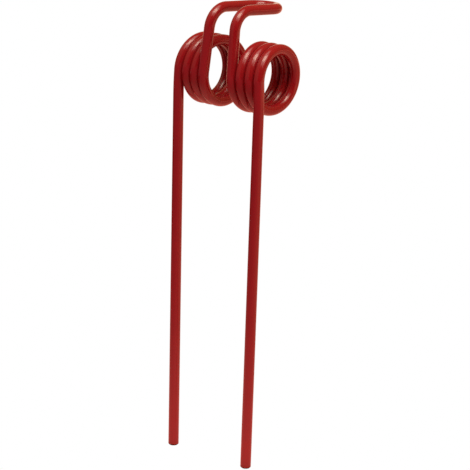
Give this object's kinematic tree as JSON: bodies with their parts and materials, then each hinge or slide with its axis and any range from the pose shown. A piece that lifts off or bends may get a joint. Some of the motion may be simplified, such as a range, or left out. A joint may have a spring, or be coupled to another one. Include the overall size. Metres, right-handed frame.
{
  "type": "rake spring tine",
  "caption": "Spring tine of coated round wire: long straight tines hang from opposite-hand coils that a clamp loop joins, for raking hay.",
  "frame": {"origin": "centre of the clamp bolt in the loop's round end, on the wire's centre line", "axes": "+X along the loop's legs towards its round end, +Y along the coils' axis, +Z along the clamp bolt, away from the tines"},
  "size_m": [0.07, 0.1012, 0.3901],
  "materials": {
    "red_coating": "glossy red powder coating on spring steel wire"
  },
  "bodies": {
    "root": {"spring_tine": "red_coating"}
  },
  "joints": []
}
